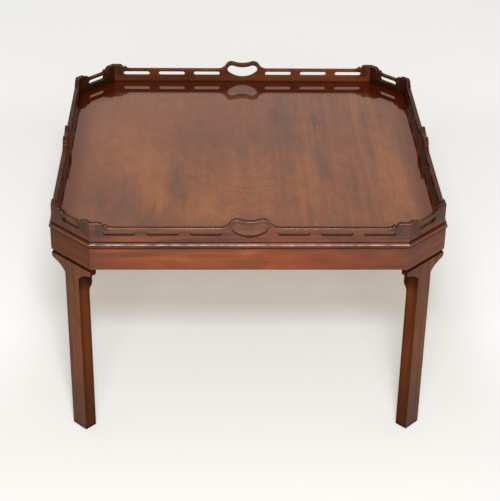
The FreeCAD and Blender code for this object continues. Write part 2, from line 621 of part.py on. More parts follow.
def make_leg_screw(name, angle):
    """A square-headed screw, its head against the back of a corner block."""
    back = face(CORNER, "Layout.block_back")
    shank = doc.addObject("Part::Cylinder", f"leg_screw_{name}_shank")
    shank.setExpression("Radius", "Sizes.leg_screw_radius")
    shank.setExpression("Height", "Layout.leg_screw_length")
    place(shank, angle, Rotation(ACROSS, 90), "0", back, "Layout.leg_screw_level")
    head = doc.addObject("Part::Prism", f"leg_screw_{name}_head")
    head.Polygon = 4
    head.setExpression("Circumradius", "Sizes.head_radius")
    head.setExpression("Height", "Sizes.head_height")
    place(head, angle, Rotation(ACROSS, -90), "0", back, "Layout.leg_screw_level")
    screw = doc.addObject("Part::Fuse", f"leg_screw_{name}")
    screw.Base = shank
    screw.Tool = head
    return screw


def group(label, things):
    """Equal small pieces that share one node."""
    compound = doc.addObject("Part::Compound", label)
    compound.Label = label
    compound.Links = things
    parts.append(compound)


def make_mitre_tongues():
    """A loose tongue in each of the eight mitres of the frieze."""
    along, across = "Sizes.tongue_width / 2", "Sizes.tongue_thickness / 2"
    tongues = []
    for name, angle, run in RUNS:
        tongue = doc.addObject("Part::Box", f"tongue_{name}")
        tongue.setExpression("Length", "Sizes.tongue_width")
        tongue.setExpression("Width", "Sizes.tongue_thickness")
        tongue.setExpression("Height", "Layout.tongue_height")
        x, y = mitre(run, "Layout.frieze_middle"), face(run, "Layout.frieze_middle")
        place(tongue, angle, Rotation(UP, 45 / 2),
              f"{x} - {along} * Layout.mitre_cos + {across} * Layout.mitre_sin",
              f"{y} - {along} * Layout.mitre_sin - {across} * Layout.mitre_cos",
              "Layout.frieze_bottom + Sizes.tongue_stop")
        tongues.append(tongue)
    group("mitre_tongues", tongues)


def find_faults():
    """Names of features that failed, cuts that cut nothing, and pieces that aren't sound."""
    faults = []
    for thing in doc.Objects:
        if {"Invalid", "Error"} & set(thing.State):
            faults.append(f"{thing.Label} failed")
        if thing.isDerivedFrom("PartDesign::Pocket") and thing.Shape.Volume >= thing.BaseFeature.Shape.Volume:
            faults.append(f"{thing.Label} cuts nothing")
    for part in parts:
        if part.Shape.isNull() or not part.Shape.isValid():
            faults.append(f"{part.Label} is not a sound shape")
    return faults


sizes = add_sheet("Sizes", SIZES)
add_sheet("Layout", LAYOUT, "=")

make_tray_panel()
for run_name, run_angle, run_kind in RUNS:
    make_edge_moulding(run_name, run_angle, run_kind)
    make_gallery_board(run_name, run_angle, run_kind)
for side_name, side_angle in SIDES:
    make_rail(f"frieze_rail_{side_name}", side_angle, SIDE)
    make_top_block(f"top_block_{side_name}_1", side_angle, "-")
    make_top_block(f"top_block_{side_name}_2", side_angle, "")
for corner_name, corner_angle, side_before, side_after in CORNERS:
    make_rail(f"corner_rail_{corner_name}", corner_angle, CORNER)
    make_leg(corner_name, corner_angle)
    make_bracket(f"bracket_{corner_name}_to_{side_before}", corner_angle, True)
    make_bracket(f"bracket_{corner_name}_to_{side_after}", corner_angle, False)
    make_corner_block(corner_name, corner_angle)
group("leg_screws", [make_leg_screw(name, angle) for name, angle, before, after in CORNERS])
make_mitre_tongues()
doc.recompute()

found = find_faults()
if found:
    raise RuntimeError("; ".join(found))
os.makedirs("parts", exist_ok=True)
for piece in parts:
    piece.Shape.exportStep(os.path.join("parts", f"{piece.Label}.step"))
whole = Part.makeCompound([piece.Shape for piece in parts]).BoundBox
print(f"{len(parts)} parts, {whole.XLength:.1f} x {whole.YLength:.1f} x {whole.ZLength:.1f} mm")
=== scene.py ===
# %% [markdown]
# # A tray top tea table
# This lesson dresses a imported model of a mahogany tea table. The top is a tray with canted corners
# inside a pierced gallery, on a plain frieze and four square legs. The solids already have the right
# shape and size, so the work here is what a polisher does after the joiner: ease the sharp edges,
# choose the grain of each board, and give the wood its colour and its gloss.

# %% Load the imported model
import math

import bmesh
import bpy
from mathutils import Matrix, Vector


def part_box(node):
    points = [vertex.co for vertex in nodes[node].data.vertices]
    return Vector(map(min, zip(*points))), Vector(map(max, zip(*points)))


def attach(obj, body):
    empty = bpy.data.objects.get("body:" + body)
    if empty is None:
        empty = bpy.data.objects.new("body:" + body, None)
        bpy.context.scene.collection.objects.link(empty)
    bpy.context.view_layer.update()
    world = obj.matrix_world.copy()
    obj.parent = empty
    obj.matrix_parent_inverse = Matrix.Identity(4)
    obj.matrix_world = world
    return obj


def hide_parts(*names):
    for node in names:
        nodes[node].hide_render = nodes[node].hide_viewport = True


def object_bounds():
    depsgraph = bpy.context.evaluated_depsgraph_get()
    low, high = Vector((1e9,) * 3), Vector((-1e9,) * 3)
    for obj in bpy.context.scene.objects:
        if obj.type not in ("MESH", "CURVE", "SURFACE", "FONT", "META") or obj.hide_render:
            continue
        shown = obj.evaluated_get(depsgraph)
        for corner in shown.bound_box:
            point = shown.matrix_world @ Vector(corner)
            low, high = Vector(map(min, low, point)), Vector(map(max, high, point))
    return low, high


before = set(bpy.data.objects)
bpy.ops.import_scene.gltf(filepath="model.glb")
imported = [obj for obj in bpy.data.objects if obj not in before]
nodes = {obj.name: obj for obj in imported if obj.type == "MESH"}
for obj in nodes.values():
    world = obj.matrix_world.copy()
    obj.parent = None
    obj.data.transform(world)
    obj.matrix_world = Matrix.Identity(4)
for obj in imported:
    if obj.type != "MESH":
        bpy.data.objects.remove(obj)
cad_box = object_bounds()
lengths = [round(high - low, 3) for low, high in zip(*cad_box)]
print("the model has", len(nodes), "pieces and is", lengths, "m")

# %% [markdown]
# ## Node helpers
# A wood finish needs a few dozen shader nodes. They could be placed by hand in the shader editor, but
# a script can be read, repeated and changed in one place. Short helpers keep each recipe readable:
# one adds a node and fills its sockets, and the others wrap the nodes that come again and again.

# %% Helpers that add a node
def fill(tree, socket, value):
    """Sets a socket to a number or a colour, or links another output to it."""
    if isinstance(value, bpy.types.NodeSocket):
        tree.links.new(value, socket)
    else:
        socket.default_value = value


def add(tree, kind, sockets=(), **settings):
    """A shader node with its settings, and its sockets filled."""
    node = tree.nodes.new("ShaderNode" + kind)
    for name, value in settings.items():
        setattr(node, name, value)
    for name, value in dict(sockets).items():
        fill(tree, node.inputs[name], value)
    return node


def new_finish(name):
    """An empty material: its nodes, its shader, and where on the piece a point lies."""
    material = bpy.data.materials.new(name)
    material.use_nodes = True
    tree = material.node_tree
    return material, tree, tree.nodes["Principled BSDF"], add(tree, "TexCoord").outputs["Object"]


def marked(tree, name):
    """The value of a mark on the mesh."""
    return add(tree, "Attribute", attribute_name=name).outputs["Fac"]


print("nodes and new finishes can be made")

# %% Helpers for places and patterns
def parts(tree, vector):
    """The X, Y and Z of a place."""
    return add(tree, "SeparateXYZ", {0: vector}).outputs


def mapped(tree, vector, scale=(1, 1, 1), turn=(0, 0, 0), move=(0, 0, 0)):
    """The same place on a piece, stretched, turned and moved."""
    sockets = {"Vector": vector, "Scale": scale, "Rotation": turn, "Location": move}
    return add(tree, "Mapping", sockets).outputs["Vector"]


def noise(tree, vector, scale, detail=2.0, distortion=0.0):
    """A soft random pattern, with about that many patches to the metre."""
    sockets = {"Vector": vector, "Scale": scale, "Detail": detail, "Distortion": distortion}
    return add(tree, "TexNoise", sockets).outputs["Fac"]


def between(tree, value, low, high, start=0.0, end=1.0):
    """Goes smoothly from start to end while the value goes from low to high."""
    sockets = {"Value": value, "From Min": low, "From Max": high, "To Min": start, "To Max": end}
    return add(tree, "MapRange", sockets, interpolation_type="SMOOTHSTEP").outputs["Result"]


print("places and patterns can be made")

# %% Helpers for arithmetic and colour
def sums(tree, operation, *values):
    """The values taken together, one step of arithmetic after another."""
    total = values[0]
    for value in values[1:]:
        total = add(tree, "Math", {0: total, 1: value}, operation=operation).outputs[0]
    return total


def times(tree, *values):
    """The product of the values."""
    return sums(tree, "MULTIPLY", *values)


def plus(tree, *values):
    """The sum of the values."""
    return sums(tree, "ADD", *values)


def larger(tree, *values):
    """The largest of the values."""
    return sums(tree, "MAXIMUM", *values)


def size_of(tree, value):
    """A value without its sign."""
    return sums(tree, "ABSOLUTE", value, 0.0)


def layer(tree, share, under, over):
    """One colour laid over another."""
    return add(tree, "Mix", {0: share, 6: under, 7: over}, data_type="RGBA").outputs[2]


print("sums and layers of colour can be made")

# %% [markdown]
# ## Wear, dirt and painted shade
# Two things age a polished table. Hands and cloths rub the edges lighter, and wax and dust settle in
# the inner corners. There the colour is also painted nearly black as shade. Both could be painted by
# hand, and would have to be painted again after each change of shape. So the rubbed edges are marked
# on the mesh as "arris" when they are made, and the dark of the corners, painted shade with dirt,
# comes from the ambient occlusion node, which knows how closed in a place is.

# %% Wear, dirt and painted shade on any wood colour
# The colour of dirt and of painted shade: in inner corners, behind the knees and in the grooves.
DIRT_AND_SHADE = (0.012, 0.005, 0.003, 1)


def clean_and_lit_share(tree, dirt_and_shade=0.9, reach=0.008):
    """1 on open faces, and less where dirt and painted shade go, in a corner closed in within the reach."""
    openness = add(tree, "AmbientOcclusion", {"Distance": reach}, samples=8).outputs["AO"]
    return between(tree, openness, 0.3, 0.9, start=1.0 - dirt_and_shade)


def aged(tree, place, colour, wear_and_highlight_colour, clean_and_lit, wear_and_highlight=0.4):
    """Wood colour with patchy rubbed edges (on the bead a painted highlight) and painted shade with dirt in
    corners.
    """
    patchy = between(tree, noise(tree, place, scale=45.0, detail=3.0), 0.35, 0.65)
    worn_and_highlit = times(tree, marked(tree, "arris"), patchy, wear_and_highlight)
    return layer(tree, clean_and_lit, DIRT_AND_SHADE, layer(tree, worn_and_highlit, colour, wear_and_highlight_colour))


print("grime colour", DIRT_AND_SHADE[:3])

# %% [markdown]
# ## Mahogany along the length of a board
# Rails, gallery and legs are cut along the grain. A picture of wood would repeat and stretch on so
# many boards. So the pattern is noise that is drawn out along the board: broad bands of colour, fine
# fibres, and the short dark pores of mahogany. Some faces, such as those that look inwards or lie in a
# slot, are marked, and get painted shade as well as more of the old dark polish.

# %% Straight grain
def drawn_out(tree, grain, stretch, move=(0, 0, 0), **pattern):
    """Noise drawn out along the grain: the smaller the stretch, the longer its marks."""
    return noise(tree, mapped(tree, grain, scale=(stretch, 1, 1), move=move), **pattern)


def straight_grain(tree, grain, shade_and_old_polish, light, red, dark, old_polish_and_shade):
    """The colour of straight mahogany, and its patterns of dark patches and of fibres."""
    cloud = drawn_out(tree, grain, 0.3, scale=14.0, detail=3.0, distortion=0.6)
    patch = drawn_out(tree, grain, 0.5, move=(3, 1, 2), scale=16.0, detail=2.0, distortion=0.8)
    bands = drawn_out(tree, grain, 0.05, scale=75.0, detail=4.0, distortion=0.4)
    fibre = drawn_out(tree, grain, 0.03, scale=420.0, detail=3.0)
    pores = drawn_out(tree, grain, 0.06, scale=1300.0, detail=1.0)
    colour = layer(tree, between(tree, cloud, 0.36, 0.66), light, red)
    # Marked faces get painted shade, mixed with old polish.
    colour = layer(tree, times(tree, shade_and_old_polish, 0.8), colour, old_polish_and_shade)
    colour = layer(tree, between(tree, patch, 0.42, 0.62, end=0.4), colour, dark)
    colour = layer(tree, between(tree, bands, 0.44, 0.68, end=0.75), colour, dark)
    colour = layer(tree, between(tree, fibre, 0.46, 0.70, end=0.5), colour, dark)
    colour = layer(tree, times(tree, between(tree, pores, 0.58, 0.68), 0.4), colour, dark)
    return colour, patch, fibre


print("straight grain: clouds, patches, bands, fibres and pores")

# %% [markdown]
# ## Marks of a board's place
# A board shows where it sits. Long boards darken towards their ends, painted shade and old polish lie
# round the carved scrolls, and a line of painted shade lies on the frieze under the bead. A leg is dark
# at its foot, has painted shade behind its knee and in the groove over its brackets, and its side faces
# have a warm stripe between two dark edges. These marks follow the height or the length, so they are
# smooth steps on the place of a point, and the mesh needs no cuts for them.

# %% Dark ends, scrolls and the painted shade under the bead
RIGHT_TAIL = (0.02, 0.32)  # metres from the middle of a side, along it
LEFT_TAIL = (-0.24, -0.32)
SCROLL_RISE = (0.455, 0.472)  # heights over the floor
# The band of painted shade on the frieze just under the bead.
BEAD_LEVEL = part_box("edge_moulding_front")[0].z
BEAD_SHADOW_BAND = (BEAD_LEVEL - 0.006, BEAD_LEVEL - 0.0005)


def darker_ends(tree, along, colour, dark, share):
    """A board that darkens towards its ends, sooner on the right."""
    tail = larger(tree, between(tree, along, *RIGHT_TAIL), between(tree, along, *LEFT_TAIL))
    return layer(tree, times(tree, tail, share), colour, dark)


def dark_scrolls(tree, along, height, colour, dark, scroll):
    """Painted shade and old polish round the scrolls, which lie equally far from the middle on both sides."""
    far = size_of(tree, along)
    before = between(tree, far, scroll - 0.016, scroll - 0.006)
    after = between(tree, far, scroll + 0.010, scroll + 0.022, start=0.9, end=0.5)
    carved = times(tree, before, after, between(tree, height, *SCROLL_RISE))
    return layer(tree, carved, colour, dark)


print("the dark line under the bead lies at", [round(level, 4) for level in BEAD_SHADOW_BAND])

# %% Marks of the legs
LEG_BACK = (0.640, 0.648)  # distances from the middle, x and y added
LEG_FRONT = (0.658, 0.671)
STRIPE = (0.175, 0.038, 0.010, 1)
STRIPE_RISE = (0.03, 0.16)  # heights over the floor
FOOT_RISE = (0.0, 0.20)
# Heights of the painted shade behind the knee and in the groove.
KNEE_RISE = (0.318, 0.345)
GROOVE_RISE = (0.3864, 0.3874)


def darker_foot(tree, place, shade_and_old_polish, patch, colour, dark, share):
    """A leg with a dark foot, and with a warm stripe between dark edges on its side faces."""
    where = parts(tree, place)
    out = plus(tree, size_of(tree, where["X"]), size_of(tree, where["Y"]))
    edges = larger(tree, between(tree, out, *LEG_BACK, start=1.0, end=0.0), between(tree, out, *LEG_FRONT))
    rise = between(tree, where["Z"], *STRIPE_RISE, start=0.2, end=0.7)
    stripe = times(tree, rise, between(tree, patch, 0.25, 0.75))
    colour = layer(tree, times(tree, shade_and_old_polish, stripe), colour, STRIPE)
    colour = layer(tree, times(tree, shade_and_old_polish, edges, 0.75), colour, dark)
    return layer(tree, between(tree, where["Z"], *FOOT_RISE, start=share, end=0.0), colour, dark)


def dark_head(tree, height, shade_and_old_polish, colour, clean_and_lit, share):
    """Painted shade behind the knee of a leg and in the groove over its brackets."""
    knee_shade = between(tree, height, *KNEE_RISE, end=0.9 * share)
    colour = layer(tree, times(tree, shade_and_old_polish, knee_shade), colour, DIRT_AND_SHADE)
    outside_groove_shade = between(tree, height, *GROOVE_RISE, start=1.0, end=1.0 - 0.8 * share)
    return layer(tree, outside_groove_shade, DIRT_AND_SHADE, colour), times(tree, clean_and_lit, outside_groove_shade)


print("the groove over the brackets starts at", GROOVE_RISE[0])

# %% [markdown]
# ## The polish
# Shellac polish is a thin hard skin with a soft gloss. It is a little uneven, so the roughness wanders
# and the surface ripples slightly, and the fibres show through it as a very fine relief. A separate
# clear coat could be laid over the wood, but one uneven gloss is simpler and suits a thin skin.
# Faces marked for painted shade and old polish, and dark inner corners, are hardly polished any more
# and lose their gloss.

# %% The finish of the rails, the gallery and the legs
WARM_REACH = (-0.12, 0.22)  # from left to right along the back board


def polish(tree, shader, place, shade_and_old_polish, clean_and_lit, fibre, roughness, gloss, ripple):
    """Gives a shader the gloss and the fine relief of old polish."""
    dull = noise(tree, place, scale=30.0, detail=3.0)
    dull = between(tree, dull, 0.3, 0.7, start=0.7 * roughness, end=1.4 * roughness)
    fill(tree, shader.inputs["Roughness"], dull)
    shine = between(tree, shade_and_old_polish, 0.0, 1.0, start=gloss, end=0.05 * gloss)
    fill(tree, shader.inputs["Specular IOR Level"], times(tree, shine, clean_and_lit))
    lift = add(tree, "Bump", {"Height": fibre, "Strength": 0.5 * ripple, "Distance": 0.0002})
    wave = add(tree, "Bump", {"Height": noise(tree, place, scale=22.0), "Strength": ripple,
                              "Distance": 0.0008, "Normal": lift.outputs["Normal"]})
    fill(tree, shader.inputs["Normal"], wave.outputs["Normal"])


def polished_mahogany(name, turn, light, red, dark, wear_and_highlight_colour, old_polish_and_shade, roughness, gloss, ripple=0.25, wear_and_highlight=0.4,
                      reach=0.008, ends=0.0, warm=0.0, scroll=0.0, under=0.0, foot=0.0, head=0.0):
    """Polished mahogany with its grain along one direction, and with the marks of its place."""
    material, tree, shader, place = new_finish(name)
    grain = mapped(tree, place, turn=turn)
    along = parts(tree, grain)["X"]
    height = parts(tree, place)["Z"]
    shade_and_old_polish = marked(tree, "shade_and_old_polish")
    colour, patch, fibre = straight_grain(tree, grain, shade_and_old_polish, light, red, dark, old_polish_and_shade)
    if ends:
        colour = darker_ends(tree, along, colour, dark, ends)
    # Marks above 1 add more painted shade.
    colour = layer(tree, between(tree, shade_and_old_polish, 1.0, 1.5, end=0.8), colour, DIRT_AND_SHADE)
    if warm:
        colour = layer(tree, between(tree, along, *WARM_REACH, end=warm), colour, light)
    if scroll:
        colour = dark_scrolls(tree, along, height, colour, dark, scroll)
    if foot:
        colour = darker_foot(tree, place, shade_and_old_polish, patch, colour, dark, foot)
    # A band of painted shade under the bead.
    if under:
        colour = layer(tree, between(tree, height, *BEAD_SHADOW_BAND, end=under), colour, dark)
    clean_and_lit = clean_and_lit_share(tree, reach=reach)
    colour = aged(tree, place, colour, wear_and_highlight_colour, clean_and_lit, wear_and_highlight)
    if head:
        colour, clean_and_lit = dark_head(tree, height, shade_and_old_polish, colour, clean_and_lit, head)
    fill(tree, shader.inputs["Base Color"], colour)
    polish(tree, shader, place, shade_and_old_polish, clean_and_lit, fibre, roughness, gloss, ripple)
    return material


print("polished mahogany can be made")

# %% [markdown]
# ## Colours of the boards
# All boards are one kind of wood, but they have aged differently. The frieze is the reddest. The
# gallery is darker, and its back board, which faces the light, is warmer on the right. The legs are
# dull and brown. The upper side of the bead carries a painted highlight, so its colour for rubbed edges
# is nearly pink. A turn about Z lays the grain along each side, and a turn about Y stands it up for the legs.

# %% Make the wood finishes
FRIEZE = dict(light=(0.288, 0.069, 0.011, 1), red=(0.210, 0.038, 0.009, 1), dark=(0.075, 0.020, 0.008, 1),
              wear_and_highlight_colour=(0.30, 0.10, 0.035, 1), old_polish_and_shade=(0.066, 0.030, 0.013, 1),
              roughness=0.26, gloss=0.33, ends=0.65, under=0.7)
GALLERY = dict(light=(0.21, 0.055, 0.014, 1), red=(0.165, 0.038, 0.012, 1), dark=(0.040, 0.012, 0.006, 1),
               wear_and_highlight_colour=(0.30, 0.11, 0.050, 1), old_polish_and_shade=(0.082, 0.022, 0.005, 1),
               roughness=0.17, gloss=0.45, ends=0.25)
LEG = dict(light=(0.180, 0.050, 0.011, 1), red=(0.140, 0.034, 0.010, 1), dark=(0.055, 0.019, 0.008, 1),
           wear_and_highlight_colour=(0.040, 0.014, 0.006, 1), old_polish_and_shade=(0.112, 0.031, 0.012, 1),
           roughness=0.30, gloss=0.13, reach=0.02, foot=0.7, head=0.75)
# The bead's pale pink colour for rubbed edges is a painted highlight.
BEAD = dict(GALLERY, light=(0.24, 0.080, 0.055, 1), red=(0.20, 0.062, 0.042, 1),
            wear_and_highlight_colour=(0.50, 0.30, 0.26, 1), roughness=0.36, gloss=1.0, ripple=0.03, wear_and_highlight=0.95)
SHORT_BEAD = dict(GALLERY, roughness=0.32, gloss=0.8, ripple=0.03)
SIDE_SCROLL = 0.268  # metres from the middle of a long board to its scrolls
SHORT_SCROLL = 0.027
BACK_BOARD = dict(GALLERY, ends=0.0, scroll=SIDE_SCROLL, warm=0.4)
ALONG = {"front": 0, "back": 0, "left": 90, "right": 90,  # the way of the grain, in degrees about Z
         "front_left": -45, "back_right": -45, "front_right": 45, "back_left": 45}
UPRIGHT = (0, math.radians(90), 0)

frieze_wood = {}
gallery_wood = {}
bead_wood = {}
for angle in dict.fromkeys(ALONG.values()):
    turn = (0, 0, math.radians(-angle))
    word = f"{angle}".replace("-", "m")
    is_side = angle in (0, 90)
    scroll = SIDE_SCROLL if is_side else SHORT_SCROLL
    frieze_wood[angle] = polished_mahogany(f"frieze_mahogany_{word}", turn, **FRIEZE)
    gallery_wood[angle] = polished_mahogany(f"gallery_mahogany_{word}", turn, **GALLERY, scroll=scroll)
    bead_wood[angle] = polished_mahogany(f"bead_mahogany_{word}", turn, **(BEAD if is_side else SHORT_BEAD))
back_wood = polished_mahogany("gallery_mahogany_back", (0, 0, 0), **BACK_BOARD)
leg_wood = polished_mahogany("leg_mahogany", UPRIGHT, **LEG)
print("wood finishes:", len(frieze_wood) + len(gallery_wood) + len(bead_wood) + 2)

# %% [markdown]
# ## The figure of the top
# The tray panel is the show piece: one broad board with a swirl in its front half, lighter and darker
# clouds, a slanting figure left of the middle, and straight streaks on the right. Noise alone has no
# such composition. So each cloud is an oval that is listed one by one and frayed by noise along the
# grain, and the swirl is a set of rings. All of them add up to one tone.

# %% Ovals with frayed edges
PATCHES = (  # middle x, y and half width, half length, in metres, and how much lighter or darker
    (-0.25, 0.06, 0.10, 0.17, 0.22), (-0.20, -0.09, 0.08, 0.13, 0.34), (-0.17, -0.19, 0.035, 0.07, 0.26),
    (-0.08, -0.26, 0.06, 0.08, 0.30), (-0.01, -0.15, 0.09, 0.15, 0.18), (0.12, -0.12, 0.05, 0.16, 0.22),
    (0.29, -0.06, 0.05, 0.22, 0.26), (-0.19, 0.25, 0.08, 0.09, 0.14), (0.24, 0.26, 0.05, 0.08, 0.20),
    (-0.28, -0.20, 0.10, 0.10, -0.30), (-0.21, -0.28, 0.08, 0.06, -0.30),
    (-0.13, -0.14, 0.022, 0.08, -0.36), (-0.10, 0.06, 0.10, 0.10, -0.18), (0.05, 0.05, 0.11, 0.07, -0.18),
    (0.075, 0.17, 0.028, 0.13, -0.44), (0.148, 0.14, 0.014, 0.035, -0.60),
    (0.155, -0.07, 0.014, 0.15, -0.42), (0.215, -0.16, 0.022, 0.12, -0.32),
    (0.26, -0.03, 0.020, 0.12, -0.14), (0.35, 0.05, 0.04, 0.30, -0.20), (-0.36, 0.0, 0.04, 0.30, -0.16),
)


def length_of(tree, vector):
    """How far a place lies from the origin."""
    return add(tree, "VectorMath", {0: vector}, operation="LENGTH").outputs["Value"]


def oval(tree, place, middle, half):
    """1 in the middle of an oval and 0 outside it."""
    scale = (1 / half[0], 1 / half[1], 0)
    move = (-middle[0] / half[0], -middle[1] / half[1], 0)
    return between(tree, length_of(tree, mapped(tree, place, scale, move=move)), 0.1, 1.2, start=1.0, end=0.0)


def swing(tree, pattern):
    """A pattern that swings about 0."""
    return sums(tree, "SUBTRACT", pattern, 0.5)


def frayed_place(tree, place, across, along):
    """The place, shifted by noise: across the grain in slow waves, and along it in fine tongues."""
    sway = swing(tree, noise(tree, mapped(tree, place, (1, 0.5, 1)), scale=9.0, detail=2.0))
    tongue = swing(tree, noise(tree, mapped(tree, place, (1, 0.08, 1)), scale=70.0, detail=3.0))
    shift = add(tree, "CombineXYZ", {"X": times(tree, sway, across), "Y": times(tree, tongue, along)})
    return add(tree, "VectorMath", {0: place, 1: shift.outputs[0]}, operation="ADD").outputs[0]


print("the top has", len(PATCHES), "lighter and darker patches")

# %% The tone of the figure
MIDDLE_TONE = 0.48
SWIRL = ((-0.01, -0.15), (0.17, 0.19))  # the middle and the half sizes of an oval
SLANT = ((-0.11, 0.02), (0.14, 0.17))
SLANT_ANGLE = math.radians(-38)


def toned(tree, tone, pattern, strength):
    """The tone, made lighter and darker by a pattern."""
    return plus(tree, tone, times(tree, pattern, strength))


def figure_tone(tree, place, streaky):
    """How light the wood of the tray is: patches, streaks, swirl, slanting figure, mottle and flecks."""
    frayed = frayed_place(tree, place, across=0.07, along=0.18)
    tone = MIDDLE_TONE
    for x, y, wide, long, change in PATCHES:
        tone = toned(tree, tone, oval(tree, frayed, (x, y), (wide, long)), change)
    streak = swing(tree, noise(tree, mapped(tree, place, (1, 0.025, 1)), scale=75.0, detail=4.0))
    tone = toned(tree, tone, streak, streaky)
    wavy = frayed_place(tree, place, across=0.13, along=0.04)
    rings = length_of(tree, mapped(tree, wavy, (1, 0.7, 0), move=(0, 0.03, 0)))
    rings = add(tree, "CombineXYZ", {"X": rings}).outputs[0]
    arcs = swing(tree, noise(tree, rings, scale=130.0, detail=2.0))
    tone = toned(tree, tone, times(tree, arcs, oval(tree, place, *SWIRL)), 1.1)
    slant = mapped(tree, mapped(tree, frayed, turn=(0, 0, SLANT_ANGLE)), (1, 0.12, 0))
    slant = swing(tree, noise(tree, slant, scale=75.0, detail=3.0))
    tone = toned(tree, tone, times(tree, slant, oval(tree, place, *SLANT)), 0.9)
    mottle = swing(tree, noise(tree, mapped(tree, place, (1, 0.55, 1)), scale=45.0, detail=3.0))
    tone = toned(tree, tone, mottle, 0.6)
    fleck = swing(tree, noise(tree, mapped(tree, place, (1, 0.5, 1)), scale=260.0, detail=2.0))
    return toned(tree, tone, fleck, 0.5)


print("the swirl lies round", SWIRL[0])

# %% [markdown]
# ## The polish of the top
# A colour ramp turns the tone into wood, and a deep red border along the back and the sides is a
# painted reflection of the gallery, with painted shade beside it. The top has the highest polish of
# the table and mirrors the gallery, so its roughness stays very low. A clear coat would do that too,
# but the fibres under the polish shine as well, and give the mirror image a warm tint. One tinted
# gloss shows both.

# %% The finish of the tray panel
TONES = ((0.085, 0.044, 0.032, 1), (0.205, 0.070, 0.030, 1), (0.345, 0.116, 0.040, 1))  # dark to light
FIBRE = (0.060, 0.026, 0.016, 1)
# A painted reflection of the gallery, with its shade, along the back and the sides.
GALLERY_REFLECTION = (0.080, 0.009, 0.001, 1)
RUBBED_TOP = (0.20, 0.08, 0.04, 1)
MIRROR_TINT = (1.0, 0.25, 0.05, 1)
LEFT_BORDER = (-0.315, -0.360)  # where the border starts and is full, in metres from the middle
RIGHT_BORDER = (0.315, 0.357)
BACK_BORDER = (0.283, 0.312)
CORNER_BORDER = (0.540, 0.600)  # x and y added


def gallery_reflection_share(tree, where):
    """How much the painted reflection and shade cover a place, at the left, the right, the back and the back
    corners.
    """
    left = between(tree, where["X"], *LEFT_BORDER, end=0.97)
    right = between(tree, where["X"], *RIGHT_BORDER, end=0.92)
    back = between(tree, where["Y"], *BACK_BORDER, end=0.96)
    corner = plus(tree, size_of(tree, where["X"]), where["Y"])
    return larger(tree, left, right, back, between(tree, corner, *CORNER_BORDER, end=0.97))


def figured_mahogany(name):
    """The polished, figured face of the tray."""
    material, tree, shader, place = new_finish(name)
    where = parts(tree, place)
    streaky = between(tree, where["X"], -0.05, 0.15, start=0.30, end=1.2)
    ramp = add(tree, "ValToRGB", {"Fac": figure_tone(tree, place, streaky)})
    stops = ramp.color_ramp.elements
    stops.new(0.5)
    for stop, colour in zip(stops, TONES):
        stop.color = colour
    fibre = noise(tree, mapped(tree, place, (1, 0.06, 1)), scale=420.0, detail=3.0)
    lines = times(tree, between(tree, fibre, 0.50, 0.72, end=0.25), streaky)
    colour = layer(tree, lines, ramp.outputs[0], FIBRE)
    colour = layer(tree, gallery_reflection_share(tree, where), colour, GALLERY_REFLECTION)
    colour = aged(tree, place, colour, RUBBED_TOP, clean_and_lit_share(tree, reach=0.014))
    fill(tree, shader.inputs["Base Color"], colour)
    smear = noise(tree, place, scale=11.0, detail=4.0)
    fill(tree, shader.inputs["Roughness"], between(tree, smear, 0.35, 0.75, start=0.03, end=0.08))
    swell = noise(tree, place, scale=14.0, detail=1.0)
    wave = add(tree, "Bump", {"Height": swell, "Strength": 0.12, "Distance": 0.0008})
    fill(tree, shader.inputs["Normal"], wave.outputs["Normal"])
    shader.inputs["Specular IOR Level"].default_value = 0.9
    shader.inputs["Specular Tint"].default_value = MIRROR_TINT
    return material


top_wood = figured_mahogany("tray_mahogany")
print(top_wood.name, len(top_wood.node_tree.nodes), "nodes")

# %% [markdown]
# ## Plain wood and iron out of sight
# Nobody polishes the inside of a frame. The glued blocks, the inner faces of the rails and the
# underside of the panel stay pale, rough and dusty, with marks of the saw across the grain. Here the
# noise is drawn out both ways: along the board for the grain, and across it for the saw. The screws
# are dull iron, and brown spots on it are less metallic.

# %% Finishes of the underside
PALE_WOOD = (0.27, 0.135, 0.065, 1)
BROWN_WOOD = (0.16, 0.072, 0.034, 1)
DUST = (0.09, 0.05, 0.03, 1)
CHISELLED = (0.36, 0.22, 0.12, 1)
BARE_IRON = (0.22, 0.21, 0.20, 1)
RUST = (0.09, 0.045, 0.025, 1)


def sawn_wood(name, turn):
    """Unpolished wood with saw marks."""
    material, tree, shader, place = new_finish(name)
    grain = mapped(tree, place, turn=turn)
    bands = drawn_out(tree, grain, 0.05, scale=90.0, detail=4.0, distortion=0.3)
    saw = noise(tree, mapped(tree, grain, (1, 0.06, 0.06)), scale=420.0, detail=2.0)
    stain = noise(tree, place, scale=8.0, detail=4.0)
    colour = layer(tree, between(tree, bands, 0.35, 0.7), PALE_WOOD, BROWN_WOOD)
    colour = layer(tree, between(tree, stain, 0.45, 0.75, end=0.5), colour, DUST)
    colour = aged(tree, place, colour, CHISELLED, clean_and_lit_share(tree, dirt_and_shade=0.7), wear_and_highlight=0.3)
    fill(tree, shader.inputs["Base Color"], colour)
    fill(tree, shader.inputs["Roughness"], between(tree, saw, 0.3, 0.7, start=0.65, end=0.9))
    rough = add(tree, "Bump", {"Height": saw, "Strength": 0.5, "Distance": 0.0004})
    fill(tree, shader.inputs["Normal"], rough.outputs["Normal"])
    return material


def dull_iron(name):
    """Iron with brown spots."""
    material, tree, shader, place = new_finish(name)
    spots = between(tree, noise(tree, place, scale=380.0, detail=4.0), 0.45, 0.62)
    fill(tree, shader.inputs["Base Color"], layer(tree, spots, BARE_IRON, RUST))
    fill(tree, shader.inputs["Roughness"], between(tree, spots, 0.0, 1.0, start=0.42, end=0.8))
    fill(tree, shader.inputs["Metallic"], between(tree, spots, 0.0, 1.0, start=1.0, end=0.2))
    return material


